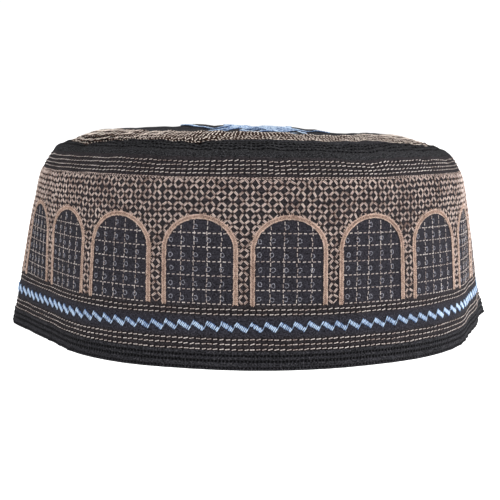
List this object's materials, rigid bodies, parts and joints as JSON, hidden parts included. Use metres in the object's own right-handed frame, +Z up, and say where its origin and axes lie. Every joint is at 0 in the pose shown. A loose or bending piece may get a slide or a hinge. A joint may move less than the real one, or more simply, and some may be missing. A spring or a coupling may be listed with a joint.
{
  "type": "prayer cap",
  "caption": "Round embroidered prayer cap with a padded hem, an upright wall stitched with arches and rings, a quilted shoulder and a low crown. It is open underneath.",
  "frame": {"origin": "on the ground, under the middle of the cap's box", "axes": "+Z up through the crown, -Y towards the front, +X towards the wearer's left as the front is looked at from outside"},
  "size_m": [0.2063, 0.1736, 0.0834],
  "materials": {
    "black_cloth": "matt woven cotton",
    "quilted_black_cloth": "matt cotton, quilted in its own colour",
    "tan_thread": "soft embroidery thread",
    "light_blue_thread": "satin-stitched embroidery thread"
  },
  "bodies": {
    "root": {"hem_band": "quilted_black_cloth", "side_band": "black_cloth", "shoulder_band": "quilted_black_cloth", "crown_panel": "black_cloth", "arch_trim_01": "tan_thread", "arch_trim_02": "tan_thread", "arch_trim_03": "tan_thread", "arch_trim_04": "tan_thread", "arch_trim_05": "tan_thread", "arch_trim_06": "tan_thread", "arch_trim_07": "tan_thread", "arch_trim_08": "tan_thread", "arch_trim_09": "tan_thread", "arch_trim_10": "tan_thread", "arch_trim_11": "tan_thread", "arch_trim_12": "tan_thread", "arch_trim_13": "tan_thread", "arch_trim_14": "tan_thread", "arch_trim_15": "tan_thread", "arch_trim_16": "tan_thread", "arch_trim_17": "tan_thread", "arch_trim_18": "tan_thread", "rosette_petal_01": "light_blue_thread", "rosette_petal_02": "light_blue_thread", "rosette_petal_03": "light_blue_thread", "rosette_petal_04": "light_blue_thread", "rosette_petal_05": "light_blue_thread", "rosette_petal_06": "light_blue_thread", "rosette_petal_07": "light_blue_thread", "rosette_petal_08": "light_blue_thread"}
  },
  "joints": []
}
